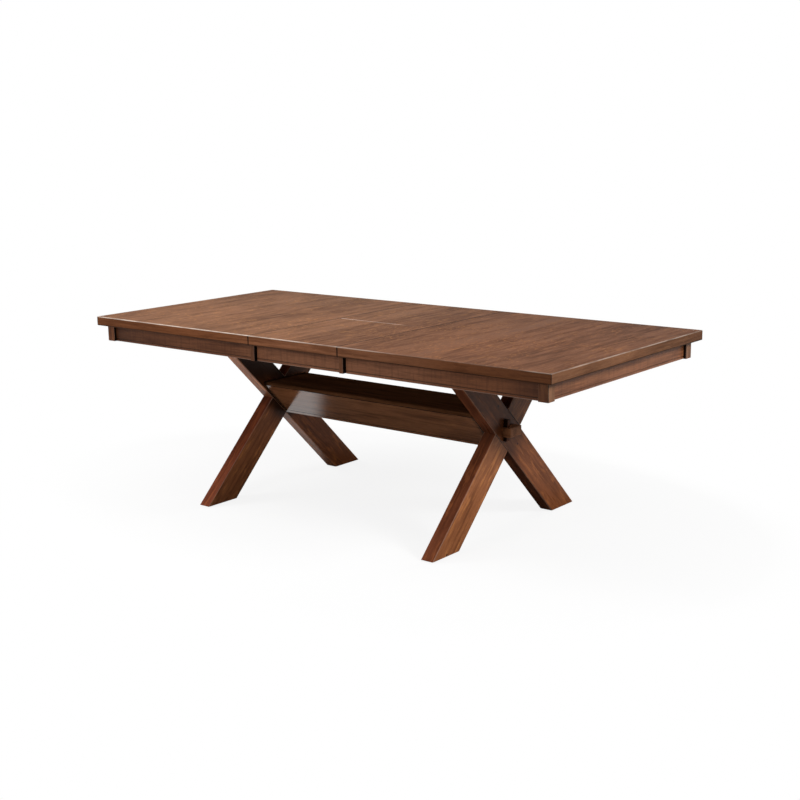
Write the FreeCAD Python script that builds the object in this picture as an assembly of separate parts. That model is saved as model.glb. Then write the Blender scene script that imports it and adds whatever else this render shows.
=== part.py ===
import FreeCAD, Part

# Extension dining table on two crossed-leg trestles, drawn out with its two-part folding leaf in place.
# Lengths are millimetres. X runs along the table, Y across it and Z up, and the front is at -Y.
# The origin is on the floor, under the middle of the leaf.

import math
import os

os.makedirs("parts", exist_ok=True)

# Whole table
table_length = 2286.0
table_width = 1067.0
table_height = 762.0
leaf_length = 457.0

# Clearances and eased edges
running_gap = 0.4
seat_gap = 0.3
fit_gap = 0.1
top_edge_radius = 2.5
under_edge_ease = 1.5
seam_edge_ease = 1.0
cut_overrun = 10.0

# Top: a panel on a perimeter strip, with battens across below it
panel_thickness = 20.0
strip_thickness = 18.0
strip_width = 64.0
batten_width = 70.0
middle_batten_share = 0.46
leaf_batten_width = 58.0

# Aprons and posts
apron_height = 67.0
apron_thickness = 19.0
apron_setback = 42.0
post_setback = 30.0
corner_post_size = 40.0
seam_post_width = 20.0
apron_seam_relief = 5.0
post_ease = 1.2
bead_height = 9.0
bead_groove = 2.0
bead_groove_depth = 1.6
corner_block_reach = 60.0
corner_block_height = 45.0

# Trestles
trestle_place = 586.0
leg_thickness = 56.0
leg_width = 114.5
leg_angle = math.radians(45.0)
crossing_height = 400.0
leg_ease = 2.5
glide_thickness = 4.0
glide_radius = 12.0
glide_offset = 48.0
cleat_height = 30.0
cleat_width = 90.0
cleat_end_margin = 50.0
cleat_ease = 4.0

# Beam between the trestles: a cap on two slanted boards that meet in a V, with through tenons and keys
beam_width = 258.0
beam_rise = 78.0
beam_drop = 79.5
beam_board_thickness = 20.0
beam_cap_thickness = 15.0
beam_cap_ease = 3.0
beam_bead_width = 19.0
beam_under_ease = 3.0
beam_end_thickness = 45.0
tenon_width = 74.0
tenon_height = 37.0
tenon_projection = 37.0
tenon_ease = 2.0
key_thickness = 18.0
key_offset = 22.0
key_rise = 29.0
key_drop = 18.0
key_depth_top = 20.0
key_depth_bottom = 14.0

# Fixed bed rails and the runners of the two sliding halves
rail_height = 57.0
rail_thickness = 30.0
rail_overhang = 20.0
well_clearance = 8.0
runner_thickness = 28.0
runner_end_margin = 41.0
runner_setback = 12.0
tongue_height = 12.0
tongue_depth = 8.0
bearer_place = 175.0
bearer_width = 40.0
bearer_thickness = 18.0

# Hexagonal bolts of the cleats and rails
bolt_sides = 6
leg_bolt_radius = 5.0
leg_bolt_head_radius = 9.5
leg_bolt_head_height = 6.5
leg_bolt_length = 75.0
rail_bolt_radius = 3.0
rail_bolt_head_radius = 5.5
rail_bolt_head_height = 4.0
rail_bolt_length = 60.0
rail_bolt_inset = 8.5

# Locating pins of the seams and concealed hinges of the leaf
pin_radius = 4.5
pin_length = 26.0
pin_round = 1.5
pin_place_shares = (0.32, 0.85)
hinge_radius = 7.0
hinge_length = 26.0
hinge_place_share = 0.25

# Levels and places that follow from the sizes above
half_length = table_length / 2
half_width = table_width / 2
panel_bottom = table_height - panel_thickness
slab_bottom = panel_bottom - strip_thickness
apron_bottom = slab_bottom - apron_height
rail_top = slab_bottom - seat_gap
cleat_top = rail_top - rail_height
cleat_bottom = cleat_top - cleat_height
beam_bottom = crossing_height - beam_drop
beam_top = crossing_height + beam_rise
beam_cap_bottom = beam_top - beam_cap_thickness
seam_place = leaf_length / 2 + running_gap
apron_face = half_width - apron_setback
post_face = half_width - post_setback
end_apron_face = half_length - apron_setback
end_post_face = half_length - post_setback
strip_inner = half_width - strip_width
half_top_length = half_length - seam_place
leg_half_run = leg_width / 2 / math.sin(leg_angle)
leg_top_place = (cleat_bottom - crossing_height) / math.tan(leg_angle)
foot_place = (crossing_height - glide_thickness) / math.tan(leg_angle)
trestle_inner = trestle_place - leg_thickness / 2
trestle_outer = trestle_place + leg_thickness / 2
rail_inner = half_width / 2 + well_clearance
rail_outer = rail_inner + rail_thickness
runner_inner = rail_outer + running_gap
runner_outer = runner_inner + runner_thickness
cleat_reach = max(runner_outer, leg_top_place + leg_half_run) + cleat_end_margin
tongue_level = (rail_top + cleat_top) / 2
batten_level = (panel_bottom + slab_bottom) / 2
bearer_top = rail_top - 2 * (panel_thickness + strip_thickness) - well_clearance
beam_slope = math.atan2(beam_cap_bottom - beam_bottom, beam_width / 2)
beam_inside = beam_width / 2 - beam_board_thickness / math.sin(beam_slope)
beam_inside_bottom = beam_bottom + beam_board_thickness / math.cos(beam_slope)
tenon_top = crossing_height + tenon_height / 2
tenon_bottom = crossing_height - tenon_height / 2
pin_places = [share * strip_inner for share in pin_place_shares]
hinge_places = [sign * hinge_place_share * leaf_length for sign in (-1, 1)]


def block(xs, ys, zs):
    """A box between pairs of coordinates, given in any order."""
    low = FreeCAD.Vector(min(xs), min(ys), min(zs))
    return Part.makeBox(abs(xs[1] - xs[0]), abs(ys[1] - ys[0]), abs(zs[1] - zs[0]), low)


def prism(points, direction):
    """A closed outline of points, drawn out along a vector."""
    vectors = [FreeCAD.Vector(*point) for point in points]
    return Part.Face(Part.makePolygon(vectors + vectors[:1])).extrude(FreeCAD.Vector(*direction))


def rod(radius, start, along, length):
    """A round bar from a point along a direction."""
    return Part.makeCylinder(radius, length, FreeCAD.Vector(*start), FreeCAD.Vector(*along))


def edges_where(shape, test):
    """The edges that pass a test of their middle point and their bounding box."""
    return [edge for edge in shape.Edges if test(edge.CenterOfMass, edge.BoundBox)]


def same(a, b):
    """Whether two places agree to a small share of a clearance."""
    return abs(a - b) < fit_gap / 2


def node(name, *solids):
    """Writes one named piece, or a group of alike pieces, to its own file."""
    shape = solids[0] if len(solids) == 1 else Part.makeCompound(list(solids))
    shape.exportStep("parts/" + name + ".step")


def beaded_board(xs, outer, thickness, zs):
    """A board along X that faces -Y at its outer face, with a bead along the foot of that face."""
    board = block(xs, (outer, outer + thickness), zs)
    groove_low = min(zs) + bead_height
    groove = block((min(xs) - cut_overrun, max(xs) + cut_overrun),
                   (outer - cut_overrun, outer + bead_groove_depth), (groove_low, groove_low + bead_groove))
    return board.cut(groove)


def turned(shape, quarter_turns):
    """A copy of a shape, turned about the upright axis through the origin."""
    copy = shape.copy()
    copy.rotate(FreeCAD.Vector(0, 0, 0), FreeCAD.Vector(0, 0, 1), math.degrees(math.pi / 2) * quarter_turns)
    return copy


def bolt(x, y, seat, sense, shank, head):
    """An upright bolt. Its shank, as radius and length, runs from its seat up (1) or down (-1)."""
    shank_radius, shank_length = shank
    head_radius, head_height = head
    turns = [math.tau * step / bolt_sides for step in range(bolt_sides)]
    corners = [(x + head_radius * math.cos(turn), y + head_radius * math.sin(turn), seat) for turn in turns]
    body = prism(corners, (0, 0, -sense * head_height))
    return body.fuse(rod(shank_radius, (x, y, seat), (0, 0, sense), shank_length)).removeSplitter()


# Trestles

def leg_outline(foot_side, x_low, x_high, bottom, top):
    """A slanted leg as a prism in X. foot_side is -1 for a front foot and +1 for a back foot."""
    def middle(z):
        return foot_side * (crossing_height - z) / math.tan(leg_angle)
    points = [(x_low, middle(bottom) - leg_half_run, bottom), (x_low, middle(bottom) + leg_half_run, bottom),
              (x_low, middle(top) + leg_half_run, top), (x_low, middle(top) - leg_half_run, top)]
    return prism(points, (x_high - x_low, 0, 0))


def tenon_hole(x_low, x_high):
    """The mortise that both legs of a trestle share."""
    reach_y = tenon_width / 2 + fit_gap
    return block((x_low - cut_overrun, x_high + cut_overrun), (-reach_y, reach_y),
                 (tenon_bottom - fit_gap, tenon_top + fit_gap))


def leg_bolts(side):
    """A bolt down through the cleat into the top of each leg, its head sunk flush."""
    return [bolt(side * trestle_place, y, cleat_top - leg_bolt_head_height, -1,
                 (leg_bolt_radius, leg_bolt_length), (leg_bolt_head_radius, leg_bolt_head_height))
            for y in (-leg_top_place, leg_top_place)]


def foot_glides(side):
    """Round glides, two under each foot of a trestle."""
    return [rod(glide_radius, (side * trestle_place, foot + offset, 0), (0, 0, 1), glide_thickness)
            for foot in (-foot_place, foot_place)
            for offset in (-glide_offset, glide_offset)]


def trestle_leg(side, foot_side):
    """A leg halved at the crossing: the back-foot leg keeps its half at +X, the other at -X."""
    x_low = side * trestle_place - leg_thickness / 2
    x_high = side * trestle_place + leg_thickness / 2
    x_middle = side * trestle_place
    leg = leg_outline(foot_side, x_low, x_high, glide_thickness, cleat_bottom)
    slanted = edges_where(leg, lambda c, b: min(b.YLength, b.ZLength) > leg_width)
    leg = leg.makeChamfer(leg_ease, slanted)
    lap = (x_middle, x_high + cut_overrun) if foot_side < 0 else (x_low - cut_overrun, x_middle)
    leg = leg.cut(leg_outline(-foot_side, lap[0], lap[1], -cut_overrun, cleat_bottom + cut_overrun))
    leg = leg.cut(tenon_hole(x_low, x_high))
    for fastener in leg_bolts(side):
        leg = leg.cut(fastener)
    return leg


def rail_bolts(side):
    """Bolts up through the cleat into both bed rails, along the cleat's two long edges."""
    rail_middle = (rail_inner + rail_outer) / 2
    edge = cleat_width / 2 - rail_bolt_inset
    return [bolt(side * trestle_place + offset, y, cleat_bottom, 1,
                 (rail_bolt_radius, rail_bolt_length), (rail_bolt_head_radius, rail_bolt_head_height))
            for offset in (-edge, edge)
            for y in (-rail_middle, rail_middle)]


def cleat(side):
    """The board across the tops of a trestle's legs."""
    x_middle = side * trestle_place
    board = block((x_middle - cleat_width / 2, x_middle + cleat_width / 2), (-cleat_reach, cleat_reach),
                  (cleat_bottom, cleat_top))
    ends = edges_where(board, lambda c, b: same(c.z, cleat_bottom) and same(abs(c.y), cleat_reach))
    board = board.makeChamfer(cleat_ease, ends)
    for fastener in leg_bolts(side) + rail_bolts(side):
        board = board.cut(fastener)
    return board


# Beam

def tenon_key(side):
    """The tapered key, flat against the outer face of a trestle."""
    face = side * trestle_outer
    low_y = -key_offset - key_thickness / 2
    top = tenon_top + key_rise
    bottom = tenon_bottom - key_drop
    points = [(face, low_y, bottom), (face + side * key_depth_bottom, low_y, bottom),
              (face + side * key_depth_top, low_y, top), (face, low_y, top)]
    return prism(points, (0, key_thickness, 0))


def beam_end(side):
    """The wedge that closes the hollow V, in one piece with its through tenon."""
    inner_face = side * trestle_inner
    start = inner_face - side * beam_end_thickness
    body = prism([(start, -beam_inside, beam_cap_bottom), (start, 0, beam_inside_bottom),
                  (start, beam_inside, beam_cap_bottom)], (inner_face - start, 0, 0))
    tip = side * (trestle_outer + tenon_projection)
    tenon = block((inner_face, tip), (-tenon_width / 2, tenon_width / 2), (tenon_bottom, tenon_top))
    tip_edges = edges_where(tenon, lambda c, b: same(c.x, tip))
    tenon = tenon.makeChamfer(tenon_ease, tip_edges)
    return body.fuse(tenon).removeSplitter().cut(tenon_key(side))


def beam_front_board():
    """A slanted side of the beam, with a bead along its foot. It meets the other side in the middle."""
    def on_slope(along, inward):
        y = -along * math.cos(beam_slope) + inward * math.sin(beam_slope)
        z = beam_bottom + along * math.sin(beam_slope) + inward * math.cos(beam_slope)
        return (-trestle_inner, y, z)
    groove_low = beam_bead_width
    groove_high = beam_bead_width + bead_groove
    foot = on_slope(beam_under_ease, 0)
    points = [(-trestle_inner, -beam_width / 2, beam_cap_bottom),
              on_slope(groove_high, 0), on_slope(groove_high, bead_groove_depth),
              on_slope(groove_low, bead_groove_depth), on_slope(groove_low, 0),
              foot, (-trestle_inner, 0, foot[2]), (-trestle_inner, 0, beam_inside_bottom),
              (-trestle_inner, -beam_inside, beam_cap_bottom)]
    return prism(points, (2 * trestle_inner, 0, 0))


def beam_top_board():
    """The flat cap of the beam, its two long upper edges eased."""
    board = block((-trestle_inner, trestle_inner), (-beam_width / 2, beam_width / 2),
                  (beam_cap_bottom, beam_top))
    edges = edges_where(board, lambda c, b: same(abs(c.y), beam_width / 2) and same(c.z, beam_top))
    return board.makeChamfer(beam_cap_ease, edges)


# Bed

def bed_rail(face_side):
    """A fixed rail along the bed, grooved on its outer side for the runners' tongues."""
    reach = trestle_place + cleat_width / 2 + rail_overhang
    rail = block((-reach, reach), (face_side * rail_inner, face_side * rail_outer), (cleat_top, rail_top))
    groove_half = tongue_height / 2 + running_gap
    groove_floor = rail_outer - tongue_depth - running_gap
    groove = block((-reach - cut_overrun, reach + cut_overrun),
                   (face_side * groove_floor, face_side * (rail_outer + cut_overrun)),
                   (tongue_level - groove_half, tongue_level + groove_half))
    rail = rail.cut(groove)
    for side in (-1, 1):
        for fastener in rail_bolts(side):
            rail = rail.cut(fastener)
    return rail


def leaf_bearer(place):
    """A bearer hung from both rails, on which the folded leaf lies when it is put away."""
    xs = (place - bearer_width / 2, place + bearer_width / 2)
    body = block(xs, (-rail_outer, rail_outer), (bearer_top - bearer_thickness, cleat_top))
    well = block((xs[0] - cut_overrun, xs[1] + cut_overrun), (-rail_inner, rail_inner),
                 (bearer_top, cleat_top + cut_overrun))
    return body.cut(well)


# Top

def ease_panel(panel, seam_places, has_end):
    """Rounds the outer top edges of a panel and breaks its edges at the seams."""
    def at_outer(c, b):
        along = same(abs(c.y), half_width) or (has_end and same(abs(c.x), half_length))
        return same(c.z, table_height) and along
    panel = panel.makeFillet(top_edge_radius, edges_where(panel, at_outer))
    def at_seam(c, b):
        level = same(b.ZMax, table_height) and same(b.ZMin, table_height)
        return level and any(same(c.x, x) for x in seam_places) and b.YLength > strip_width
    return panel.makeChamfer(seam_edge_ease, edges_where(panel, at_seam))


def edge_strip(xs, ys, outer_test):
    """A strip below the panel's rim, eased along its lower outer edge."""
    strip = block(xs, ys, (slab_bottom, panel_bottom))
    return strip.makeChamfer(under_edge_ease,
                             edges_where(strip, lambda c, b: same(c.z, slab_bottom) and outer_test(c)))


def seam_pins(side, radius_gap):
    """Pins from a half's seam batten into the fixed back leaf, along X."""
    length = pin_length + 2 * radius_gap
    start = side * (seam_place - running_gap / 2) - length / 2
    return [rod(pin_radius + radius_gap, (start, y, batten_level), (1, 0, 0), length) for y in pin_places]


def rounded_pin(side, y):
    """One pin with its entering end chamfered."""
    start = side * (seam_place - running_gap / 2) - pin_length / 2
    pin = rod(pin_radius, (start, y, batten_level), (1, 0, 0), pin_length)
    tip = start if side > 0 else start + pin_length
    return pin.makeChamfer(pin_round, edges_where(pin, lambda c, b: same(c.x, tip) and b.YLength > pin_radius))


def apron(xs, face_side):
    """A long apron, set back behind the faces of its posts."""
    zs = (apron_bottom, slab_bottom)
    if face_side < 0:
        return beaded_board(xs, -apron_face, apron_thickness, zs)
    return turned(beaded_board([-x for x in xs], -apron_face, apron_thickness, zs), 2)


def end_apron(side):
    """The apron across one end of the table, between its corner posts."""
    reach = post_face - corner_post_size
    board = beaded_board((-reach, reach), -end_apron_face, apron_thickness, (apron_bottom, slab_bottom))
    return turned(board, side)


def post(xs, face_side):
    """A square post, its upright edges eased."""
    outer = face_side * post_face
    body = block(xs, (outer, outer - face_side * corner_post_size), (apron_bottom, slab_bottom))
    return body.makeChamfer(post_ease, edges_where(body, lambda c, b: b.ZLength > apron_height / 2))


def corner_block(side, face_side):
    """The glue block inside a corner, cut round the post."""
    apron_inner = face_side * (apron_face - apron_thickness)
    end_inner = side * (end_apron_face - apron_thickness)
    post_x = side * (end_post_face - corner_post_size)
    post_y = face_side * (post_face - corner_post_size)
    low = slab_bottom - corner_block_height
    points = [(post_x - side * corner_block_reach, apron_inner, low), (post_x, apron_inner, low),
              (post_x, post_y, low), (end_inner, post_y, low),
              (end_inner, post_y - face_side * corner_block_reach, low)]
    return prism(points, (0, 0, corner_block_height))


def runner(side, face_side):
    """A runner below a half's battens, with the tongue that rides in the rail's groove."""
    start = side * (seam_place + runner_setback)
    end = side * (end_apron_face - apron_thickness - runner_end_margin)
    body = block((start, end), (face_side * runner_inner, face_side * runner_outer),
                 (cleat_top + running_gap, slab_bottom))
    tongue = block((start, end), (face_side * (runner_inner + tongue_depth / 2),
                                  face_side * (rail_outer - tongue_depth)),
                   (tongue_level - tongue_height / 2, tongue_level + tongue_height / 2))
    return body.fuse(tongue).removeSplitter()


def top_half(name, side, with_seam_posts):
    """One sliding half of the top, with everything that it carries."""
    seam = side * seam_place
    end = side * half_length
    panel = block((seam, end), (-half_width, half_width), (panel_bottom, table_height))
    node(name + "_top_panel", ease_panel(panel, (seam,), True))
    for word, face_side in (("front", -1), ("back", 1)):
        outer = face_side * half_width
        strip = edge_strip((seam, end), (outer, face_side * strip_inner),
                           lambda c: same(c.y, outer) or same(c.x, end))
        node(name + "_edge_" + word, strip)
    cap = edge_strip((end - side * strip_width, end), (-strip_inner, strip_inner), lambda c: same(c.x, end))
    node(name + "_edge_end", cap)

    starts = (seam, seam + side * middle_batten_share * half_top_length)
    battens = [block((x, x + side * batten_width), (-strip_inner, strip_inner), (slab_bottom, panel_bottom))
               for x in starts]
    for pin in seam_pins(side, 0):
        battens[0] = battens[0].cut(pin)
    node(name + "_battens", *battens)
    node(name + "_seam_pins", *[rounded_pin(side, y) for y in pin_places])

    post_inner = side * (end_post_face - corner_post_size)
    if with_seam_posts:
        apron_start = seam + side * seam_post_width
    else:
        apron_start = seam + side * apron_seam_relief
    for word, face_side in (("front", -1), ("back", 1)):
        node(name + "_apron_" + word, apron((apron_start, post_inner), face_side))
        node(name + "_corner_post_" + word, post((post_inner, side * end_post_face), face_side))
        node(name + "_runner_" + word, runner(side, face_side))
    if with_seam_posts:
        node(name + "_seam_posts", *[post((seam, apron_start), face_side) for face_side in (-1, 1)])
    node(name + "_apron_end", end_apron(side))
    node(name + "_corner_blocks", *[corner_block(side, face_side) for face_side in (-1, 1)])


# Leaf

def hinge_barrels(face_side):
    """The two hinge barrels let into the meeting edge of one half of the leaf."""
    start = face_side * running_gap / 2
    return [rod(hinge_radius, (x, start, batten_level), (0, face_side, 0), hinge_length)
            for x in hinge_places]


def leaf_half(name, face_side):
    """The front or back half of the folding leaf, with its apron and post."""
    reach = leaf_length / 2
    meeting = face_side * running_gap / 2
    outer = face_side * half_width
    inner = face_side * strip_inner
    panel = block((-reach, reach), (meeting, outer), (panel_bottom, table_height))
    panel = ease_panel(panel, (-reach, reach), False)
    def at_meeting(c, b):
        return same(c.y, meeting) and same(b.ZMin, table_height) and b.XLength > strip_width
    node(name + "_panel", panel.makeChamfer(seam_edge_ease, edges_where(panel, at_meeting)))
    node(name + "_edge", edge_strip((-reach, reach), (outer, inner), lambda c: same(c.y, outer)))

    battens = [block((side * reach, side * (reach - leaf_batten_width)), (meeting, inner),
                     (slab_bottom, panel_bottom)) for side in (-1, 1)]
    middle_reach = reach - leaf_batten_width
    middle = block((-middle_reach, middle_reach), (meeting, meeting + face_side * leaf_batten_width),
                   (slab_bottom, panel_bottom))
    for barrel in hinge_barrels(face_side):
        middle = middle.cut(barrel)
    if face_side > 0:
        for index, side in enumerate((-1, 1)):
            for hole in seam_pins(side, running_gap):
                battens[index] = battens[index].cut(hole)
    node(name + "_battens", middle, *battens)
    node(name + "_hinge_barrels", *hinge_barrels(face_side))

    post_start = reach - seam_post_width
    node(name + "_apron", apron((apron_seam_relief - reach, post_start), face_side))
    node(name + "_post", post((post_start, reach), face_side))


# The whole table

for side_name, side in (("left", -1), ("right", 1)):
    node(side_name + "_leg_front_foot", trestle_leg(side, -1))
    node(side_name + "_leg_back_foot", trestle_leg(side, 1))
    node(side_name + "_cleat", cleat(side))
    node(side_name + "_beam_end_tenon", beam_end(side))
    node(side_name + "_tenon_key", tenon_key(side))
node("foot_glides", *(foot_glides(-1) + foot_glides(1)))
node("leg_bolts", *(leg_bolts(-1) + leg_bolts(1)))
node("rail_bolts", *(rail_bolts(-1) + rail_bolts(1)))
node("beam_front_board", beam_front_board())
node("beam_back_board", turned(beam_front_board(), 2))
node("beam_top_board", beam_top_board())
node("bed_rail_front", bed_rail(-1))
node("bed_rail_back", bed_rail(1))
node("leaf_bearers", leaf_bearer(-bearer_place), leaf_bearer(bearer_place))
top_half("left", -1, True)
top_half("right", 1, False)
leaf_half("leaf_front", -1)
leaf_half("leaf_back", 1)
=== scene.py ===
import math

import bpy
from mathutils import Matrix, Vector

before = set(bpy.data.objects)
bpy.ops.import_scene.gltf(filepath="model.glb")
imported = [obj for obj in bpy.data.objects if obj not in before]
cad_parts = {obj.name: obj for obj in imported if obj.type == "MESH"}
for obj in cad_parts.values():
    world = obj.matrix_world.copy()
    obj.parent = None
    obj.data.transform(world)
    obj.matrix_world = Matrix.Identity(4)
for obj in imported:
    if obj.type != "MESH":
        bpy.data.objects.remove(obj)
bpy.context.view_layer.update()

# Lengths and places are in metres, colours are linear.
X, Y, Z = (1, 0, 0), (0, 1, 0), (0, 0, 1)
# The directions in which the two kinds of leg rise: towards the back, and towards the front
SLANT_BACK = (0, 1, 1)
SLANT_FRONT = (0, -1, 1)

# The camera, as solved from the photograph
CAMERA_PLACE = (3.3161, -3.9693, 1.5482)
CAMERA_AZIMUTH = math.radians(-39.141)
CAMERA_PITCH = math.radians(12.077)
CAMERA_ROLL = math.radians(-0.8826)
CAMERA_LENS_MM = 58.12
SENSOR_MM = 36.0

# Places on the table
SEAM = 0.2287
HALF_LENGTH = 1.143
HALF_WIDTH = 0.5335
TOP_LEVEL = 0.762
SLAB_BOTTOM = 0.724
POST_FACE_X = 1.113
POST_FACE_Y = 0.5035
POST_WIDTH = 0.040
BEAD_LEVEL = 0.667
APRON_BOTTOM = 0.657
CROSSING_LEVEL = 0.400
LEG_HALF_DEPTH = 0.05725
LEG_INNER_FACE = 0.558
BEAM_APEX = 0.3205
BEAM_CAP_BOTTOM = 0.463
BEAM_HALF_WIDTH = 0.129
BEAM_BEAD = 0.020

# Colours of the stained wood
# DARK_GRAIN_AND_SHADE is the dark of the grain, pores and plank joints, and also painted shade on the aprons
# towards the corner posts
DARK_GRAIN_AND_SHADE = (0.060, 0.021, 0.009)
BROWN = (0.150, 0.058, 0.024)
WARM_BROWN = (0.230, 0.093, 0.040)
GOLD_FLECK = (0.400, 0.172, 0.062)
# Dark glaze of the seams, the leg joints and the outer corners, and also painted shade in gaps, grooves,
# corners, under the slab, under the beam's cap and on the keys' sides
GLAZE_AND_SHADE = (0.010, 0.005, 0.003)
# Pale arrises: partly wear, partly a painted highlight
WORN_ARRIS_AND_HIGHLIGHT = (0.80, 0.68, 0.60)
# DENT_AND_SHADE is the colour of the dents, and also painted shade on the legs near and above their crossing
DENT_AND_SHADE = (0.018, 0.009, 0.006)

# Colours of the other materials
STEEL = (0.5, 0.5, 0.5)
BRASS = (0.72, 0.5, 0.22)
GLIDE_PLASTIC = (0.02, 0.018, 0.016)

# Factors on the wood's colour
# A painted sheen, greyer and lighter, along the middle of the long sides
PAINTED_SHEEN_TINT = (1.30, 1.48, 1.80)
TOP_LEFT_TINT = (0.94, 0.99, 1.02)
TOP_RIGHT_TINT = (1.03, 0.95, 0.87)
# Painted shade on the slab's long sides, and a painted sheen, lighter and greyer, on its ends
SLAB_SIDE_SHADE = (0.90, 0.80, 0.76)
SLAB_END_SHEEN = (1.12, 1.28, 1.58)
SLAB_TINT = (0.97, 0.96, 0.93)
# Painted shade on the long aprons
LONG_APRON_SHADE = (0.90, 0.80, 0.76)
END_APRON_TINT = (1.0, 0.92, 0.86)
# Painted light on the posts: lighter at the left end, darker towards the right end, and a painted sheen on
# their end faces
POST_LIGHT_AT_LEFT = (1.30, 1.22, 1.18)
POST_LIGHT_IN_MIDDLE = (0.88, 0.90, 0.98)
POST_SHADE_AT_RIGHT = (0.74, 0.73, 0.78)
POST_END_SHEEN = (1.08, 1.36, 1.68)
POST_TINT = (0.90, 0.84, 0.80)
# Painted light on the legs: a painted sheen on the wide faces of the legs with a front foot, painted shade
# on those with a back foot, painted shade on the narrow faces, and a painted reflection on the narrow faces
# of the left trestle's legs with a back foot
FRONT_FOOT_WIDE_SHEEN = (1.20, 1.29, 1.38)
FRONT_FOOT_NARROW_SHADES = ((0.68, 0.50, 0.56), (0.60, 0.50, 0.54))
BACK_FOOT_WIDE_SHADE = (0.78, 0.73, 0.69)
BACK_FOOT_NARROW_REFLECTION_AND_SHADE = ((1.60, 1.60, 1.60), (0.58, 0.50, 0.55))
LEG_TINT = (1.40, 1.18, 1.02)
# Painted light on the beam's boards and painted shade on its cap, both the same wood
BEAM_LIGHT = (1.45, 1.45, 1.45)
BEAM_CAP_SHADE = (0.60, 0.60, 0.60)
TENON_TINT = (1.0, 1.0, 1.0)
HIDDEN_TINT = (0.45, 0.42, 0.40)
KEY_TINT = (0.36, 0.24, 0.17)

# Stretches in which something changes: two places, along X where nothing else is said, and for some of
# them the shares at these places
# Where the painted sheen rises at the left and falls away at the right
PAINTED_SHEEN_LEFT = (-0.45, 0.0)
PAINTED_SHEEN_RIGHT = (0.80, 0.45)
TOP_TINT_CHANGE = (-0.3, 0.8)
# Where the posts' painted light changes, from the left to the middle and from the middle to the right
LEFT_POST_CHANGE = (-0.9, -0.4)
RIGHT_POST_CHANGE = (0.3, 0.9)
TRESTLE_CHANGE = (-0.01, 0.01)
# The wear and painted highlight on the slab's arrises fade towards the right; the painted highlight along
# the fold fades at its ends
WEAR_AND_HIGHLIGHT_OVER_LEAF = (-0.15, 0.30, 0.85, 0.40)
WEAR_AND_HIGHLIGHT_AFTER_LEAF = (0.30, 0.60, 1.0, 0.25)
WEAR_AND_HIGHLIGHT_AT_RIGHT_END = (1.00, 1.10, 0.0, 1.0)
FOLD_HIGHLIGHT_LEFT = (-0.16, -0.08, 0.90, 0.60)
FOLD_HIGHLIGHT_RIGHT = (0.08, 0.13, 1.0, 0.15)
# Painted shade on the slab, darker towards the right end and towards the back
SHADE_TO_RIGHT = (-0.4, 1.1, 1.05, 0.76)
SHADE_TO_BACK_ALONG_Y = (-0.1, 0.5, 1.0, 0.82)
# Painted shade on the legs above their crossing starts and is full at these heights
SHADE_ABOVE_CROSSING_ALONG_Z = (0.42, 0.52)

# Planks of the top. A joint is full and ends at these shares of a plank's width from its middle.
PLANK_WIDTH = 0.105
PLANK_VARIETY = 0.55
PLANK_JOINT = (0.008, 0.020)
PLANK_JOINT_SHARE = 0.28
PLANK_SHIFT_ALONG = 7.0
PLANK_SHIFT_DEEP = 3.0
PLANK_TONE = 0.14

# Layers of the grain, as cycles per metre along it and across it
FIGURE = (3.2, 26.0)
STREAK = (4.0, 110.0)
FLECK = (9.0, 55.0)
PORE = (40.0, 900.0)
# Gold specks of the top along X and Y, and dark ripples of the aprons along them and along Z
SPECKS = (95.0, 42.0)
RIPPLE = (90.0, 9.0)
# Cycles per metre of patterns that are the same in all directions
WEAR_CYCLES = 9.0
DENT_CYCLES = 9.0
CLOUD_CYCLES = 2.6
PATCH_CYCLES = 7.0
FINE_CYCLES = 260.0

# The figure's share in the pattern of the wood, the rest being streaks, and where the colours lie in it
FIGURE_SHARE = 0.60
COLOUR_MIDDLE = 0.5
COLOUR_HALF_RANGE = 0.22
BROWN_AT = 0.44
WARM_BROWN_AT = 0.56

# Stretches of a noise's values: how long one is, or its two ends, and for some the shares at these ends
FLECK_RANGE = 0.16
PORE_DARKNESS = (0.35, 0.5, 0.3, 0.0)
SPECK_SHARE = (0.55, 0.68, 0.0, 0.70)
SPECK_PATCHES = (0.42, 0.58)
RIPPLE_SHARE = (0.45, 0.7, 0.0, 0.30)
WEAR_PATCHES = (0.35, 0.6, 0.45, 1.0)
CLOUD_LIGHT = (0.3, 0.7, 0.90, 1.10)
DENT_SHARE = (0.025, 0.06, 0.9, 0.0)
GLOSS_RANGE = (0.3, 0.7)
FINE_RANGE = (0.35, 0.65)

# Relief, and what the grain adds to the roughness and takes from it
RELIEF_STRENGTH = 0.10
RELIEF_DEPTH = 0.001
GRAIN_ROUGHER = 0.06
GRAIN_SMOOTHER = 0.04

# How far a face has to look along a direction, from where it starts to count to where it counts in full
FACING = (0.6, 0.9)
SLAB_FACING = (0.55, 0.75)
ARRIS_FACING = (0.80, 0.97)

# Rims, as the distances inside an edge at which a mark starts and is full. Below 0 they lie outside it.
CORNER_RIM = (0.004, 0.001)
APRON_TOP_RIM = (0.007, 0.003)
POST_TOP_RIM = (0.006, 0.003)
WEAR_BELOW_TOP = (0.0036, 0.0024)
WEAR_BY_SIDE = (0.0046, 0.0030)
WEAR_BY_END = (0.0040, 0.0026)
FOLD_HIGHLIGHT_BY_SEAM = (0.006, 0.008)
APRON_END_RIM = (0.17, 0.0)
POST_END_RIM = (0.06, 0.05)
SEAM_POST_RIM = (-0.04, -0.03)

# Lines, as half their width and the width of their soft rim
SEAM_LINE = (0.0021, 0.0018)
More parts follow.
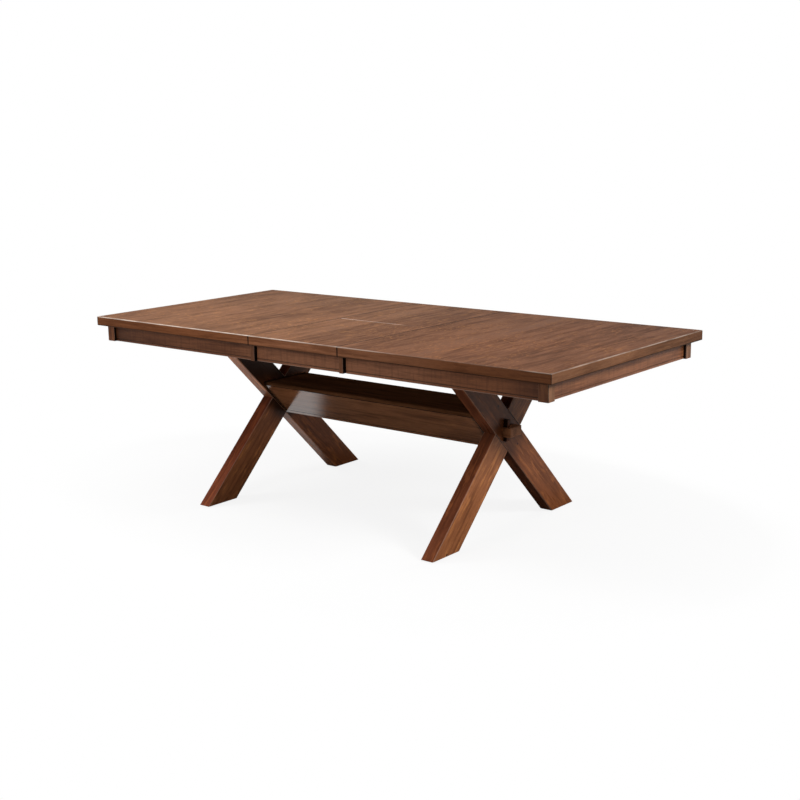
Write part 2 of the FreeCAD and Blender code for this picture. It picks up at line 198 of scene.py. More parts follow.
# SLAB_FOOT_LINE, APRON_GROOVE_LINE and the three beam lines draw painted shade, and APRON_FOOT_LINE a
# painted highlight
SLAB_FOOT_LINE = (0.003, 0.003)
FOLD_LINE = (0.0015, 0.0013)
APRON_GROOVE_LINE = (0.0010, 0.0012)
APRON_FOOT_LINE = (0.001, 0.002)
POST_SIDE_SHADE_LINE = (0.001, 0.001)
LEG_JOINT_LINE = (0.0010, 0.0016)
LEG_JOINT_PLACE = LEG_HALF_DEPTH + 0.0008
CROSSING_SHADE_LINE = (LEG_HALF_DEPTH + 0.01, 0.07)
BEAM_GROOVE_LINE = (0.0011, 0.0014)
BEAM_CAP_LINE = (0.0008, 0.0015)
BEAM_LEG_LINE = (0.004, 0.030)

# Shares of the marks
SLAB_CORNER_SHARE = 0.75
# SLAB_FOOT_SHARE, APRON_TOP_SHARE and POST_TOP_SHARE are shares of painted shade, APRON_FOOT_SHARE one of a
# painted highlight, and the wear shares are partly a painted highlight
SLAB_FOOT_SHARE = 0.7
END_WEAR_SHARE = 0.32
APRON_TOP_SHARE = 0.85
APRON_FOOT_SHARE = 0.20
POST_CORNER_SHARE = 0.85
POST_TOP_SHARE = 0.8
POST_WEAR_SHARE = 0.15
LEG_WEAR_SHARE = 0.12
LEG_JOINT_SHARE = 0.85
BEAM_SHADE_SHARE = 0.9
KEY_SHADE_SHARE = 0.85
# The painted shade on the legs near their crossing and above it is deeper on the faces that look inwards,
# towards the other trestle.
CROSSING_SHADE_INNER = 0.93
CROSSING_SHADE_OUTER = 0.50
UPPER_SHADE_INNER = 0.88
UPPER_SHADE_OUTER = 0.55

# Floor. From FLOOR_NEAR, a share of an ellipse, to the ellipse's rim it goes over into white, and
# FLOOR_LIFT is the share of white that the camera sees even below the table.
FLOOR_REACH = 30.0
FLOOR_COLOUR = (0.9, 0.9, 0.9)
FLOOR_BOUNCE = (0.55, 0.55, 0.55)
FLOOR_SHADE = (0.06, 0.06, 0.06)
FLOOR_LENGTH = 1.9
FLOOR_DEPTH = 1.3
FLOOR_NEAR = 0.35
FLOOR_LIFT = 0.86
# The deep shade on the floor starts and is full at these places, along X, X and Y.
SHADE_LEFT = (-0.72, -0.60)
SHADE_RIGHT = (1.35, 0.95)
SHADE_DEPTH = (0.80, 0.45)

# Light. A lamp has a name, a place, a target, a size and a power, and may show in gloss or not.
WORLD_LEVEL = 0.13
LAMPS = [
    ("key", (-2.9, -1.25, 2.9), (-0.3, 0, 0.6), (1.2, 1.2), 92.0, True),
    ("overhead", (-0.8, -0.6, 3.5), (0, 0, 0.7), (2.4, 2.0), 26.0, True),
    ("right", (4.0, 0.2, 2.6), (0.8, 0, 0.3), (1.0, 1.0), 120.0, True),
    ("back", (0.5, 3.3, 1.5), (0, 0.3, 0.5), (1.6, 1.0), 34.0, False),
    ("front", (0.0, -2.3, 1.35), (0.0, 0, 0.55), (0.9, 0.7), 12.0, True),
]


def make_camera():
    """The camera at the photograph's viewing angle."""
    level = math.cos(CAMERA_PITCH)
    forward = Vector((math.sin(CAMERA_AZIMUTH) * level,
                      math.cos(CAMERA_AZIMUTH) * level,
                      -math.sin(CAMERA_PITCH)))
    right = forward.cross(Vector(Z)).normalized()
    up = right.cross(forward)
    rolled_right = math.cos(CAMERA_ROLL) * right + math.sin(CAMERA_ROLL) * up
    rolled_up = -math.sin(CAMERA_ROLL) * right + math.cos(CAMERA_ROLL) * up
    data = bpy.data.cameras.new("camera")
    data.lens = CAMERA_LENS_MM
    data.sensor_width = SENSOR_MM
    camera = bpy.data.objects.new("camera", data)
    turn = Matrix((rolled_right, rolled_up, -forward)).transposed().to_4x4()
    camera.matrix_world = Matrix.Translation(CAMERA_PLACE) @ turn
    bpy.context.collection.objects.link(camera)
    bpy.context.scene.camera = camera


class Nodes:
    """A short way to build a material's node tree. place, normal, x, y and z are the object's own."""

    def __init__(self, name):
        self.material = bpy.data.materials.new(name)
        self.material.use_nodes = True
        self.tree = self.material.node_tree
        self.shader = self.tree.nodes["Principled BSDF"]
        source = self.add("ShaderNodeTexCoord")
        self.place = source.outputs["Object"]
        self.normal = source.outputs["Normal"]
        split = self.add("ShaderNodeSeparateXYZ")
        self.join(self.place, split.inputs[0])
        self.x, self.y, self.z = split.outputs

    def add(self, kind, **settings):
        node = self.tree.nodes.new(kind)
        for name, value in settings.items():
            setattr(node, name, value)
        return node

    def join(self, source, target):
        self.tree.links.new(source, target)

    def feed(self, value, socket):
        """Links an output, or sets a plain value, on an input socket."""
        if isinstance(value, bpy.types.NodeSocket):
            self.join(value, socket)
        else:
            socket.default_value = value

    def math(self, operation, a, b=0.0):
        node = self.add("ShaderNodeMath", operation=operation)
        self.feed(a, node.inputs[0])
        self.feed(b, node.inputs[1])
        return node.outputs[0]

    def plus(self, a, b):
        return self.math("ADD", a, b)

    def minus(self, a, b):
        return self.math("SUBTRACT", a, b)

    def times(self, a, b):
        return self.math("MULTIPLY", a, b)

    def size(self, a):
        return self.math("ABSOLUTE", a)

    def either(self, *shares):
        """The largest of several shares."""
        most = shares[0]
        for share in shares[1:]:
            most = self.math("MAXIMUM", most, share)
        return most

    def dot(self, vector, direction):
        node = self.add("ShaderNodeVectorMath", operation="DOT_PRODUCT")
        self.feed(vector, node.inputs[0])
        self.feed(tuple(direction), node.inputs[1])
        return node.outputs["Value"]

    def combine(self, x, y, z):
        node = self.add("ShaderNodeCombineXYZ")
        for value, socket in zip((x, y, z), node.inputs):
            self.feed(value, socket)
        return node.outputs[0]

    def noise(self, vector, scale=1.0, detail=3.0, roughness=0.55, distortion=0.0):
        node = self.add("ShaderNodeTexNoise")
        self.feed(vector, node.inputs["Vector"])
        node.inputs["Scale"].default_value = scale
        node.inputs["Detail"].default_value = detail
        node.inputs["Roughness"].default_value = roughness
        node.inputs["Distortion"].default_value = distortion
        return node.outputs["Fac"]

    def span(self, value, low, high, to_low=0.0, to_high=1.0):
        """Maps a stretch of values to another, smoothly and clamped. low may be over high."""
        node = self.add("ShaderNodeMapRange", interpolation_type="SMOOTHSTEP")
        self.feed(value, node.inputs["Value"])
        for name, number in (("From Min", low), ("From Max", high), ("To Min", to_low), ("To Max", to_high)):
            node.inputs[name].default_value = number
        return node.outputs["Result"]

    def inside(self, value, edge, rim, share=1.0):
        """Rises from 0 to a share over the rim inside an edge."""
        start, full = rim
        return self.span(value, edge - start, edge - full, 0.0, share)

    def line(self, value, middle, widths):
        """1 within half a line's width of its middle, fading to 0 over its soft rim."""
        half, soft = widths
        distance = self.size(self.minus(value, middle))
        return self.span(distance, half, half + soft, 1.0, 0.0)

    def facing(self, direction, limits=FACING):
        """1 on faces that look along a direction or against it."""
        return self.span(self.size(self.dot(self.normal, direction)), *limits)

    def ramp(self, value, stops):
        node = self.add("ShaderNodeValToRGB")
        self.feed(value, node.inputs["Fac"])
        points = node.color_ramp.elements
        points[0].position, points[1].position = stops[0][0], stops[-1][0]
        points[0].color, points[1].color = (*stops[0][1], 1), (*stops[-1][1], 1)
        for place, colour in stops[1:-1]:
            points.new(place).color = (*colour, 1)
        return node.outputs["Color"]

    def mix(self, share, a, b, blend="MIX"):
        node = self.add("ShaderNodeMix", data_type="RGBA", blend_type=blend)
        self.feed(share, node.inputs[0])
        self.feed(a if isinstance(a, bpy.types.NodeSocket) else (*a, 1), node.inputs[6])
        self.feed(b if isinstance(b, bpy.types.NodeSocket) else (*b, 1), node.inputs[7])
        return node.outputs[2]

    def mix_number(self, share, a, b):
        return self.plus(a, self.times(share, self.minus(b, a)))

    def tinted(self, colour, tint):
        return self.mix(1.0, colour, tint, "MULTIPLY")

    def bump(self, height, strength, distance):
        node = self.add("ShaderNodeBump")
        node.inputs["Strength"].default_value = strength
        node.inputs["Distance"].default_value = distance
        self.join(height, node.inputs["Height"])
        self.join(node.outputs["Normal"], self.shader.inputs["Normal"])


def plank_cells(n, place):
    """The dark joints between planks, and three random numbers for each plank."""
    def cells(feature):
        node = n.add("ShaderNodeTexVoronoi", voronoi_dimensions="1D", feature=feature)
        n.feed(place, node.inputs["W"])
        node.inputs["Scale"].default_value = 1.0 / PLANK_WIDTH
        node.inputs["Randomness"].default_value = PLANK_VARIETY
        return node.outputs

    joint = n.span(cells("DISTANCE_TO_EDGE")["Distance"], *PLANK_JOINT, PLANK_JOINT_SHARE, 0.0)
    split = n.add("ShaderNodeSeparateColor")
    n.join(cells("F1")["Color"], split.inputs[0])
    return joint, split.outputs


def grain(n, along, across, seed, planks=False, fleck_share=0.75, contrast=1.0, fleck_from=0.58,
          shortness=1.0):
    """The colour, the pattern and the relief of stained wood. seed moves the pattern along the grain, and
    shortness draws it together there. Flecks show where their noise is over fleck_from."""
    along = Vector(along).normalized()
    across = Vector(across).normalized()
    a = n.dot(n.place, along)
    b = n.dot(n.place, across)
    c = n.dot(n.place, along.cross(across))
    if planks:
        joint, randoms = plank_cells(n, n.plus(b, seed))
        a = n.plus(a, n.times(randoms[1], PLANK_SHIFT_ALONG))
        c = n.plus(c, n.times(randoms[2], PLANK_SHIFT_DEEP))
    a = n.plus(a, seed)

    def layer(cycles, **settings):
        """Noise, drawn out along the grain."""
        lengthwise, crosswise = cycles
        place = n.combine(n.times(a, lengthwise * shortness), n.times(b, crosswise), n.times(c, crosswise))
        return n.noise(place, **settings)

    figure = layer(FIGURE, detail=5.0, roughness=0.6, distortion=0.5)
    streak = layer(STREAK, detail=4.0, roughness=0.65)
    fleck = layer(FLECK, detail=5.0, roughness=0.65, distortion=0.25)
    pore = layer(PORE, detail=2.0)
    body = n.plus(n.times(figure, FIGURE_SHARE), n.times(streak, 1.0 - FIGURE_SHARE))
    if planks:
        body = n.plus(body, n.times(n.minus(randoms[0], COLOUR_MIDDLE), PLANK_TONE))
    half = COLOUR_HALF_RANGE / contrast
    stops = [(COLOUR_MIDDLE - half, DARK_GRAIN_AND_SHADE), (BROWN_AT, BROWN), (WARM_BROWN_AT, WARM_BROWN),
             (COLOUR_MIDDLE + half, BROWN)]
    colour = n.ramp(body, stops)
    colour = n.mix(n.span(fleck, fleck_from, fleck_from + FLECK_RANGE, 0.0, fleck_share), colour, GOLD_FLECK)
    colour = n.mix(n.span(pore, *PORE_DARKNESS), colour, DARK_GRAIN_AND_SHADE)
    if planks:
        colour = n.mix(joint, colour, DARK_GRAIN_AND_SHADE)
    relief = n.plus(n.times(pore, 0.5), n.times(streak, 0.5))
    return colour, body, relief


def arris_wear_and_highlight(n, share, frame_axes):
    """A share on the arrises, for wear and a painted highlight: chamfers and roundings between the flat
    faces of a frame of three axes.
    """
    most = n.either(*[n.size(n.dot(n.normal, Vector(axis).normalized())) for axis in frame_axes])
    return n.times(n.span(most, *ARRIS_FACING, 1.0, 0.0), share)


def corner_lines(n, reach_x, reach_y, share):
    """A share on both sides of the four upright outer corners."""
    by_end = n.inside(n.size(n.x), reach_x, CORNER_RIM)
    by_side = n.inside(n.size(n.y), reach_y, CORNER_RIM)
    return n.times(n.times(by_end, by_side), share)


def finish_wood(n, colour, body, relief, specular, roughness, tint, duller=0.0):
    """Sets the shader from a wood's colour, pattern and relief. duller is added to the roughness."""
    n.join(n.tinted(colour, tint), n.shader.inputs["Base Color"])
    gloss = n.span(body, *GLOSS_RANGE, roughness + GRAIN_ROUGHER, roughness - GRAIN_SMOOTHER)
    n.join(n.plus(gloss, duller), n.shader.inputs["Roughness"])
    n.shader.inputs["Specular IOR Level"].default_value = specular
    n.bump(relief, RELIEF_STRENGTH, RELIEF_DEPTH)
    return n.material


def painted_sheen(n, colour):
    """A painted sheen, greyer and lighter, along the middle of the long sides."""
    share = n.times(n.span(n.x, *PAINTED_SHEEN_LEFT), n.span(n.x, *PAINTED_SHEEN_RIGHT))
    return n.mix(share, colour, n.tinted(colour, PAINTED_SHEEN_TINT))


def slab_glaze_and_shade(n):
    """Dark glaze lines along the two seams and down the slab's corners, and a line of painted shade along
    the slab's foot.
    """
    seam = n.line(n.size(n.x), SEAM, SEAM_LINE)
    foot = n.times(n.line(n.z, SLAB_BOTTOM, SLAB_FOOT_LINE), SLAB_FOOT_SHARE)
    return n.either(seam, foot, corner_lines(n, HALF_LENGTH, HALF_WIDTH, SLAB_CORNER_SHARE))


def slab_wear_and_highlight(n):
    """Pale arrises, partly wear and partly a painted highlight: strong along the sides of the left half,
    fainter on the leaf, on the right half and at the ends, and a painted highlight along the leaf's fold."""
    length = n.size(n.x)
    width = n.size(n.y)
    by_side = n.inside(width, HALF_WIDTH, WEAR_BY_SIDE)
    by_end = n.inside(length, HALF_LENGTH, WEAR_BY_END)
    over_leaf = n.span(n.x, *WEAR_AND_HIGHLIGHT_OVER_LEAF)
    over_right_half = n.either(n.span(n.x, *WEAR_AND_HIGHLIGHT_AFTER_LEAF), n.span(n.x, *WEAR_AND_HIGHLIGHT_AT_RIGHT_END))
    sides = n.times(n.times(by_side, over_leaf), over_right_half)
    patches = n.noise(n.combine(n.times(n.x, WEAR_CYCLES), n.times(width, WEAR_CYCLES), 0.0), detail=3.0)
    patchy = n.span(patches, *WEAR_PATCHES)
    rim = n.times(n.either(sides, n.times(by_end, END_WEAR_SHARE)), patchy)
    # A painted highlight along the leaf's fold
    fold = n.times(n.line(n.y, 0.0, FOLD_LINE), n.inside(length, SEAM, FOLD_HIGHLIGHT_BY_SEAM))
    fold_share = n.times(n.span(n.x, *FOLD_HIGHLIGHT_LEFT), n.span(n.x, *FOLD_HIGHLIGHT_RIGHT))
    fold = n.times(fold, fold_share)
    return n.times(n.inside(n.z, TOP_LEVEL, WEAR_BELOW_TOP), n.either(rim, fold))


def slab_cloud_and_shade(n):
    """A factor on the slab's colour: a cloudy tone, and painted shade that darkens it towards the right end
    and the back.
    """
    cloud = n.noise(n.place, scale=CLOUD_CYCLES, detail=3.0)
    light = n.times(n.span(cloud, *CLOUD_LIGHT), n.span(n.x, *SHADE_TO_RIGHT))
    light = n.times(light, n.span(n.y, *SHADE_TO_BACK_ALONG_Y))
    return n.combine(light, light, light)


def gold_specks(n, colour):
    """Short golden specks, in patches."""
    place = n.combine(n.times(n.x, SPECKS[0]), n.times(n.y, SPECKS[1]), 0.0)
    specks = n.span(n.noise(place, detail=3.0), *SPECK_SHARE)
    patches = n.span(n.noise(n.place, scale=PATCH_CYCLES, detail=2.0), *SPECK_PATCHES)
    return n.mix(n.times(specks, patches), colour, GOLD_FLECK)


def slab_wood():
    """Wood of the top and of its rim. Faces that look sideways have their grain along the edge."""
    n = Nodes("slab_wood")
    up = n.facing(Z, SLAB_FACING)
    endwise = n.facing(X, SLAB_FACING)
    top_colour, top_body, top_relief = grain(n, Y, X, seed=4.0, planks=True, fleck_share=0.6,
                                             contrast=0.95, fleck_from=0.54, shortness=1.5)
    side_colour, side_body, side_relief = grain(n, X, Z, seed=1.0, fleck_share=0.35, contrast=0.8)
    end_colour, _, end_relief = grain(n, Y, Z, seed=2.0, fleck_share=0.35, contrast=0.8)
    top_tint = n.mix(n.span(n.x, *TOP_TINT_CHANGE), TOP_LEFT_TINT, TOP_RIGHT_TINT)
    top_colour = n.tinted(gold_specks(n, top_colour), top_tint)
    # Painted shade on the long sides with the painted sheen along their middle, and a painted sheen on the
    # ends
    side_colour = painted_sheen(n, n.tinted(side_colour, SLAB_SIDE_SHADE))
    rim_colour = n.mix(endwise, side_colour, n.tinted(end_colour, SLAB_END_SHEEN))
    # A cloudy tone, and painted shade towards the right end and the back
    colour = n.tinted(n.mix(up, rim_colour, top_colour), slab_cloud_and_shade(n))
    # Dark glaze in the seams and down the corners, and painted shade along the slab's foot
    colour = n.mix(slab_glaze_and_shade(n), colour, GLAZE_AND_SHADE)
    # Wear on the arrises together with a painted highlight
    colour = n.mix(slab_wear_and_highlight(n), colour, WORN_ARRIS_AND_HIGHLIGHT)
    body = n.mix_number(up, side_body, top_body)
    relief = n.mix_number(up, n.mix_number(endwise, side_relief, end_relief), top_relief)
    return finish_wood(n, colour, body, relief, specular=0.04, roughness=0.55, tint=SLAB_TINT)


def apron_wood(name, along, reach, seed, by_post, in_groove, specular, tint):
    """Wood of the aprons. Painted shade lies under the slab, on the end faces and, with a share in_groove,
    in the groove of the bead, and grows to a share by_post towards the corner posts, whose inner faces are
    at reach along it. A painted highlight runs along the foot, and a painted sheen along the middle of the
    long aprons."""
    n = Nodes(name)
    colour, body, relief = grain(n, along, Z, seed, fleck_share=0.3)
    place = n.dot(n.place, along)
    ripple = n.noise(n.combine(n.times(place, RIPPLE[0]), n.times(n.z, RIPPLE[1]), 0.0), detail=3.0)
    colour = n.mix(n.span(ripple, *RIPPLE_SHARE), colour, DARK_GRAIN_AND_SHADE)
    # Painted shade: darker towards the corner posts
    colour = n.mix(n.inside(n.size(place), reach, APRON_END_RIM, by_post), colour, DARK_GRAIN_AND_SHADE)
    # A painted highlight along the foot, and the painted sheen
    foot = n.times(n.line(n.z, APRON_BOTTOM, APRON_FOOT_LINE), APRON_FOOT_SHARE)
    colour = n.mix(foot, painted_sheen(n, colour), WORN_ARRIS_AND_HIGHLIGHT)
    # Painted shade in the bead's groove, under the slab and on the end faces
    groove = n.times(n.line(n.z, BEAD_LEVEL, APRON_GROOVE_LINE), in_groove)
    top = n.inside(n.z, SLAB_BOTTOM, APRON_TOP_RIM, APRON_TOP_SHARE)
    colour = n.mix(n.either(groove, top, n.facing(along)), colour, GLAZE_AND_SHADE)
    return finish_wood(n, colour, body, relief, specular, roughness=0.4, tint=tint)


def post_wood():
    """Wood of the corner and seam posts, with painted light that is lighter at the left end and darker at
    the right end, a painted sheen on the end faces, painted shade under the slab, in the seams and on the
    corner posts' inner side faces, and dark glaze down the outer corners.
    """
    n = Nodes("post_wood")
    colour, body, relief = grain(n, Z, X, seed=7.0, fleck_share=0.4)
    length = n.size(n.x)
    width = n.size(n.y)
    facing_x = n.facing(X)
    # Painted light: lighter at the left end, darker towards the right, and a painted sheen on the end faces
    left_tint = n.mix(n.span(n.x, *LEFT_POST_CHANGE), POST_LIGHT_AT_LEFT, POST_LIGHT_IN_MIDDLE)
    tint = n.mix(n.span(n.x, *RIGHT_POST_CHANGE), left_tint, POST_SHADE_AT_RIGHT)
    at_end = n.times(facing_x, n.inside(length, POST_FACE_X, POST_END_RIM))
    colour = n.tinted(colour, n.mix(at_end, tint, POST_END_SHEEN))
    # Wear on the arrises together with a painted highlight
    colour = n.mix(arris_wear_and_highlight(n, POST_WEAR_SHARE, (X, Y, Z)), colour, WORN_ARRIS_AND_HIGHLIGHT)
    # Painted shade under the slab, on the faces in the seams and on the corner posts' inner side faces; dark
    # glaze down the outer corners
    top = n.inside(n.z, SLAB_BOTTOM, POST_TOP_RIM, POST_TOP_SHARE)
    facing_right = n.span(n.dot(n.normal, X), *FACING)
    in_seam = n.times(facing_right, n.inside(length, SEAM, SEAM_POST_RIM))
    inner_x = n.times(facing_x, n.line(length, POST_FACE_X - POST_WIDTH, POST_SIDE_SHADE_LINE))
    inner_y = n.times(n.facing(Y), n.line(width, POST_FACE_Y - POST_WIDTH, POST_SIDE_SHADE_LINE))
    corners = corner_lines(n, POST_FACE_X, POST_FACE_Y, POST_CORNER_SHARE)
    colour = n.mix(n.either(corners, top, in_seam, inner_x, inner_y), colour, GLAZE_AND_SHADE)
    return finish_wood(n, colour, body, relief, specular=0.10, roughness=0.4, tint=POST_TINT)


def dents(n):
    """Small round dents."""
    cells = n.add("ShaderNodeTexVoronoi", feature="F1")
    n.join(n.place, cells.inputs["Vector"])
    cells.inputs["Scale"].default_value = DENT_CYCLES
    return n.span(cells.outputs["Distance"], *DENT_SHARE)


def leg_wood(name, along, across, seed, cut_side, wide, narrow, duller):
    """Wood of a slanted leg: warmer, with a few dents, wear on the arrises that also carries a painted
    highlight, and painted shade near the crossing and above it. cut_side is the side along X on which the
    other leg runs through it. wide tints its wide faces with painted light and shade, and narrow its narrow
    ones, first at the left trestle and then at the right one. duller is added to the roughness of the narrow
    faces."""
    n = Nodes(name)
    colour, body, relief = grain(n, along, across, seed, fleck_share=0.62, contrast=0.9, fleck_from=0.50)
    direction = Vector(along).normalized()
    from_crossing = n.size(n.minus(n.dot(n.place, direction), CROSSING_LEVEL * direction.z))
    to_x = n.dot(n.normal, X)
    outward = n.times(to_x, n.math("SIGN", n.x))
    inward = n.times(outward, -1.0)
    # Painted shade near the crossing and above it, deeper on the faces that look inwards
    crossing = n.times(n.line(from_crossing, 0.0, CROSSING_SHADE_LINE),
                       n.span(inward, *FACING, CROSSING_SHADE_OUTER, CROSSING_SHADE_INNER))
    colour = n.mix(n.either(dents(n), crossing), colour, DENT_AND_SHADE)
    upper = n.either(n.span(outward, *FACING, 0.0, UPPER_SHADE_OUTER),
                     n.span(inward, *FACING, 0.0, UPPER_SHADE_INNER))
    colour = n.mix(n.times(n.span(n.z, *SHADE_ABOVE_CROSSING_ALONG_Z), upper), colour, DENT_AND_SHADE)
    # Painted light and shade on the wide and narrow faces
    wide_face = n.facing(X)
    narrow_tint = n.mix(n.span(n.x, *TRESTLE_CHANGE), *narrow)
    colour = n.tinted(colour, n.mix(wide_face, narrow_tint, wide))
    cut_face = n.span(n.times(to_x, cut_side), *FACING)
    joint = n.times(n.line(from_crossing, LEG_JOINT_PLACE, LEG_JOINT_LINE), cut_face)
    colour = n.mix(n.times(joint, LEG_JOINT_SHARE), colour, GLAZE_AND_SHADE)
    # Wear on the arrises together with a painted highlight
    colour = n.mix(arris_wear_and_highlight(n, LEG_WEAR_SHARE, (X, along, across)), colour, WORN_ARRIS_AND_HIGHLIGHT)
    return finish_wood(n, colour, body, relief, specular=0.08, roughness=0.3, tint=LEG_TINT,
                       duller=n.mix_number(wide_face, duller, 0.0))


def beam_wood(name, specular, roughness, tint):
    """Wood of the beam, with painted shade in the groove of its bead, below its cap and in the corners by
    the legs.
    """
    n = Nodes(name)
    colour, body, relief = grain(n, X, Z, seed=10.0, fleck_share=0.3)
    slope = Vector((0, BEAM_HALF_WIDTH, BEAM_CAP_BOTTOM - BEAM_APEX)).normalized()
    up_slope = n.plus(n.times(n.size(n.y), slope.y), n.times(n.minus(n.z, BEAM_APEX), slope.z))
    groove = n.line(up_slope, BEAM_BEAD, BEAM_GROOVE_LINE)
    under_cap = n.line(n.z, BEAM_CAP_BOTTOM, BEAM_CAP_LINE)
    by_leg = n.line(n.size(n.x), LEG_INNER_FACE, BEAM_LEG_LINE)
    # Painted shade in the groove, under the cap and by the legs
    colour = n.mix(n.times(n.either(groove, under_cap, by_leg), BEAM_SHADE_SHARE), colour, GLAZE_AND_SHADE)
    return finish_wood(n, colour, body, relief, specular, roughness, tint)


def hidden_wood(name, along, across, seed):
    """Sealed, matt wood of the pieces inside."""
    n = Nodes(name)
    colour, body, relief = grain(n, along, across, seed, fleck_share=0.1)
    return finish_wood(n, colour, body, relief, specular=0.1, roughness=0.6, tint=HIDDEN_TINT)


def key_wood():
    """The nearly black wood of the tenon keys, with painted shade on the faces that don't look along X."""
    n = Nodes("key_wood")
    colour, body, relief = grain(n, Z, X, seed=13.0, fleck_share=0.1)
    # Painted shade on the faces that don't look along X
    not_outward = n.minus(1.0, n.facing(X))
    colour = n.mix(n.times(not_outward, KEY_SHADE_SHARE), colour, GLAZE_AND_SHADE)
    return finish_wood(n, colour, body, relief, specular=0.04, roughness=0.4, tint=KEY_TINT)


def plain(name, colour, roughness, metallic=0.0):
    """A fine-grained surface: plastic, or metal where metallic is 1."""
    n = Nodes(name)
    cloud = n.noise(n.place, scale=FINE_CYCLES)
    lighter = [1.25 * part for part in colour]
    n.join(n.mix(n.span(cloud, *FINE_RANGE), colour, lighter), n.shader.inputs["Base Color"])
    gloss = n.span(cloud, *GLOSS_RANGE, roughness - 0.06, roughness + 0.08)
    n.join(gloss, n.shader.inputs["Roughness"])
    n.shader.inputs["Metallic"].default_value = metallic
    n.bump(cloud, strength=0.05, distance=0.0005)
    return n.material


def make_materials():
    """Pairs of a word in a node's name and a material. The first pair that fits a node counts."""
    slab = slab_wood()
    brass = plain("brass", BRASS, roughness=0.32, metallic=1.0)
    inner_across = hidden_wood("inner_wood_across", Y, X, seed=12.0)
    return [
        ("_top_panel", slab),
        ("leaf_front_panel", slab),
        ("leaf_back_panel", slab),
        ("_edge", slab),
        ("_apron_end", apron_wood("apron_wood_end", Y, POST_FACE_Y - POST_WIDTH, seed=6.0, by_post=0.10,
                                  in_groove=0.35, specular=0.16, tint=END_APRON_TINT)),
        ("_apron", apron_wood("apron_wood_long", X, POST_FACE_X - POST_WIDTH, seed=5.0, by_post=0.62,
                              in_groove=0.7, specular=0.11, tint=LONG_APRON_SHADE)),
        ("_post", post_wood()),
        ("_leg_front_foot", leg_wood("leg_wood_front_foot", SLANT_BACK, SLANT_FRONT, seed=8.0, cut_side=1,
                                     wide=FRONT_FOOT_WIDE_SHEEN, narrow=FRONT_FOOT_NARROW_SHADES, duller=0.5)),
        ("_leg_back_foot", leg_wood("leg_wood_back_foot", SLANT_FRONT, SLANT_BACK, seed=9.0, cut_side=-1,
                                    wide=BACK_FOOT_WIDE_SHADE, narrow=BACK_FOOT_NARROW_REFLECTION_AND_SHADE, duller=0.0)),
        ("_tenon_key", key_wood()),
        # The cap carries painted shade, and the beam's boards painted light
        ("beam_top_board", beam_wood("beam_cap_wood", specular=0.0, roughness=0.6, tint=BEAM_CAP_SHADE)),
        ("_beam_end_tenon", beam_wood("tenon_wood", specular=0.06, roughness=0.4, tint=TENON_TINT)),
        ("beam", beam_wood("beam_wood", specular=0.9, roughness=0.14, tint=BEAM_LIGHT)),
        ("bolts", plain("steel", STEEL, roughness=0.35, metallic=1.0)),
        ("pins", brass),
        ("hinge", brass),
        ("glides", plain("glide", GLIDE_PLASTIC, roughness=0.55)),
        ("battens", inner_across),
        ("cleat", inner_across),
        ("bearers", inner_across),
        ("", hidden_wood("inner_wood", X, Y, seed=11.0)),
    ]


def dress():
    """Gives every CAD node its material."""
    materials = make_materials()
    for node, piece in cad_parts.items():
        material = next(material for word, material in materials if word in node)
        piece.data.materials.clear()
        piece.data.materials.append(material)


def seen_share(tree):
    """1 for rays that show the background: camera, glossy and transmission rays."""
    paths = tree.nodes.new("ShaderNodeLightPath")
    share = paths.outputs["Is Camera Ray"]
    for name in ("Is Glossy Ray", "Is Transmission Ray"):
        node = tree.nodes.new("ShaderNodeMath")
        node.operation = "MAXIMUM"
        tree.links.new(share, node.inputs[0])
        tree.links.new(paths.outputs[name], node.inputs[1])
        share = node.outputs[0]
    return share


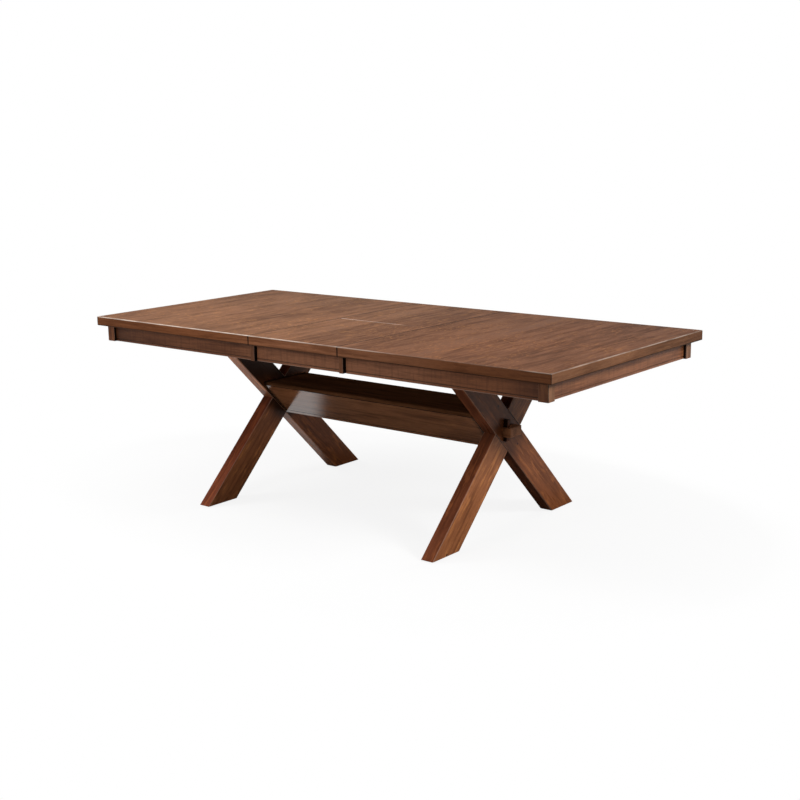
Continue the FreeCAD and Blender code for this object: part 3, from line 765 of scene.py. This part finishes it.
def floor_white():
    """White, in deep shade under the table for bounced rays. Further out it goes over into pure white."""
    n = Nodes("floor_white")
    under = n.times(n.times(n.span(n.x, *SHADE_LEFT), n.span(n.x, *SHADE_RIGHT)),
                    n.span(n.size(n.y), *SHADE_DEPTH))
    paths = n.add("ShaderNodeLightPath")
    bounced = n.mix(under, FLOOR_BOUNCE, FLOOR_SHADE)
    n.join(n.mix(paths.outputs["Is Camera Ray"], bounced, FLOOR_COLOUR), n.shader.inputs["Base Color"])
    n.shader.inputs["Roughness"].default_value = 0.9
    n.shader.inputs["Specular IOR Level"].default_value = 0.0
    white = n.add("ShaderNodeEmission")
    white.inputs["Strength"].default_value = 1.0
    distance = n.add("ShaderNodeVectorMath", operation="LENGTH")
    in_ellipse = n.combine(n.times(n.x, 1.0 / FLOOR_LENGTH), n.times(n.size(n.y), 1.0 / FLOOR_DEPTH), 0.0)
    n.join(in_ellipse, distance.inputs[0])
    away = n.span(distance.outputs["Value"], FLOOR_NEAR, 1.0)
    far = n.times(seen_share(n.tree), away)
    near = n.times(paths.outputs["Is Camera Ray"], FLOOR_LIFT)
    mirrored = n.times(paths.outputs["Is Glossy Ray"], n.minus(1.0, under))
    blend = n.add("ShaderNodeMixShader")
    n.join(n.either(far, near, mirrored), blend.inputs[0])
    n.join(n.shader.outputs[0], blend.inputs[1])
    n.join(white.outputs[0], blend.inputs[2])
    n.join(blend.outputs[0], n.tree.nodes["Material Output"].inputs["Surface"])
    return n.material


def make_stage():
    """The floor."""
    data = bpy.data.meshes.new("floor")
    corners = [(-FLOOR_REACH, -FLOOR_REACH, 0), (FLOOR_REACH, -FLOOR_REACH, 0),
               (FLOOR_REACH, FLOOR_REACH, 0), (-FLOOR_REACH, FLOOR_REACH, 0)]
    data.from_pydata(corners, [], [(0, 1, 2, 3)])
    data.materials.append(floor_white())
    floor = bpy.data.objects.new("floor", data)
    bpy.context.collection.objects.link(floor)


def area_light(name, place, target, size, power, mirrored):
    """A soft lamp. Where mirrored is False, it doesn't show in gloss."""
    data = bpy.data.lights.new(name, "AREA")
    data.shape = "RECTANGLE"
    data.size, data.size_y = size
    data.energy = power
    light = bpy.data.objects.new(name, data)
    light.location = place
    light.rotation_euler = (Vector(target) - Vector(place)).to_track_quat("-Z", "Y").to_euler()
    light.visible_glossy = mirrored
    bpy.context.collection.objects.link(light)


def make_light():
    """A dim surround, whose seen background is white, and the soft lamps."""
    world = bpy.data.worlds.new("world")
    bpy.context.scene.world = world
    world.use_nodes = True
    tree = world.node_tree
    background = tree.nodes["Background"]
    background.inputs["Color"].default_value = (1, 1, 1, 1)
    level = tree.nodes.new("ShaderNodeMapRange")
    level.inputs["To Min"].default_value = WORLD_LEVEL
    level.inputs["To Max"].default_value = 1.0
    tree.links.new(seen_share(tree), level.inputs["Value"])
    tree.links.new(level.outputs[0], background.inputs["Strength"])
    for lamp in LAMPS:
        area_light(*lamp)


make_camera()
dress()
make_stage()
make_light()
bpy.context.scene.view_settings.view_transform = "Standard"
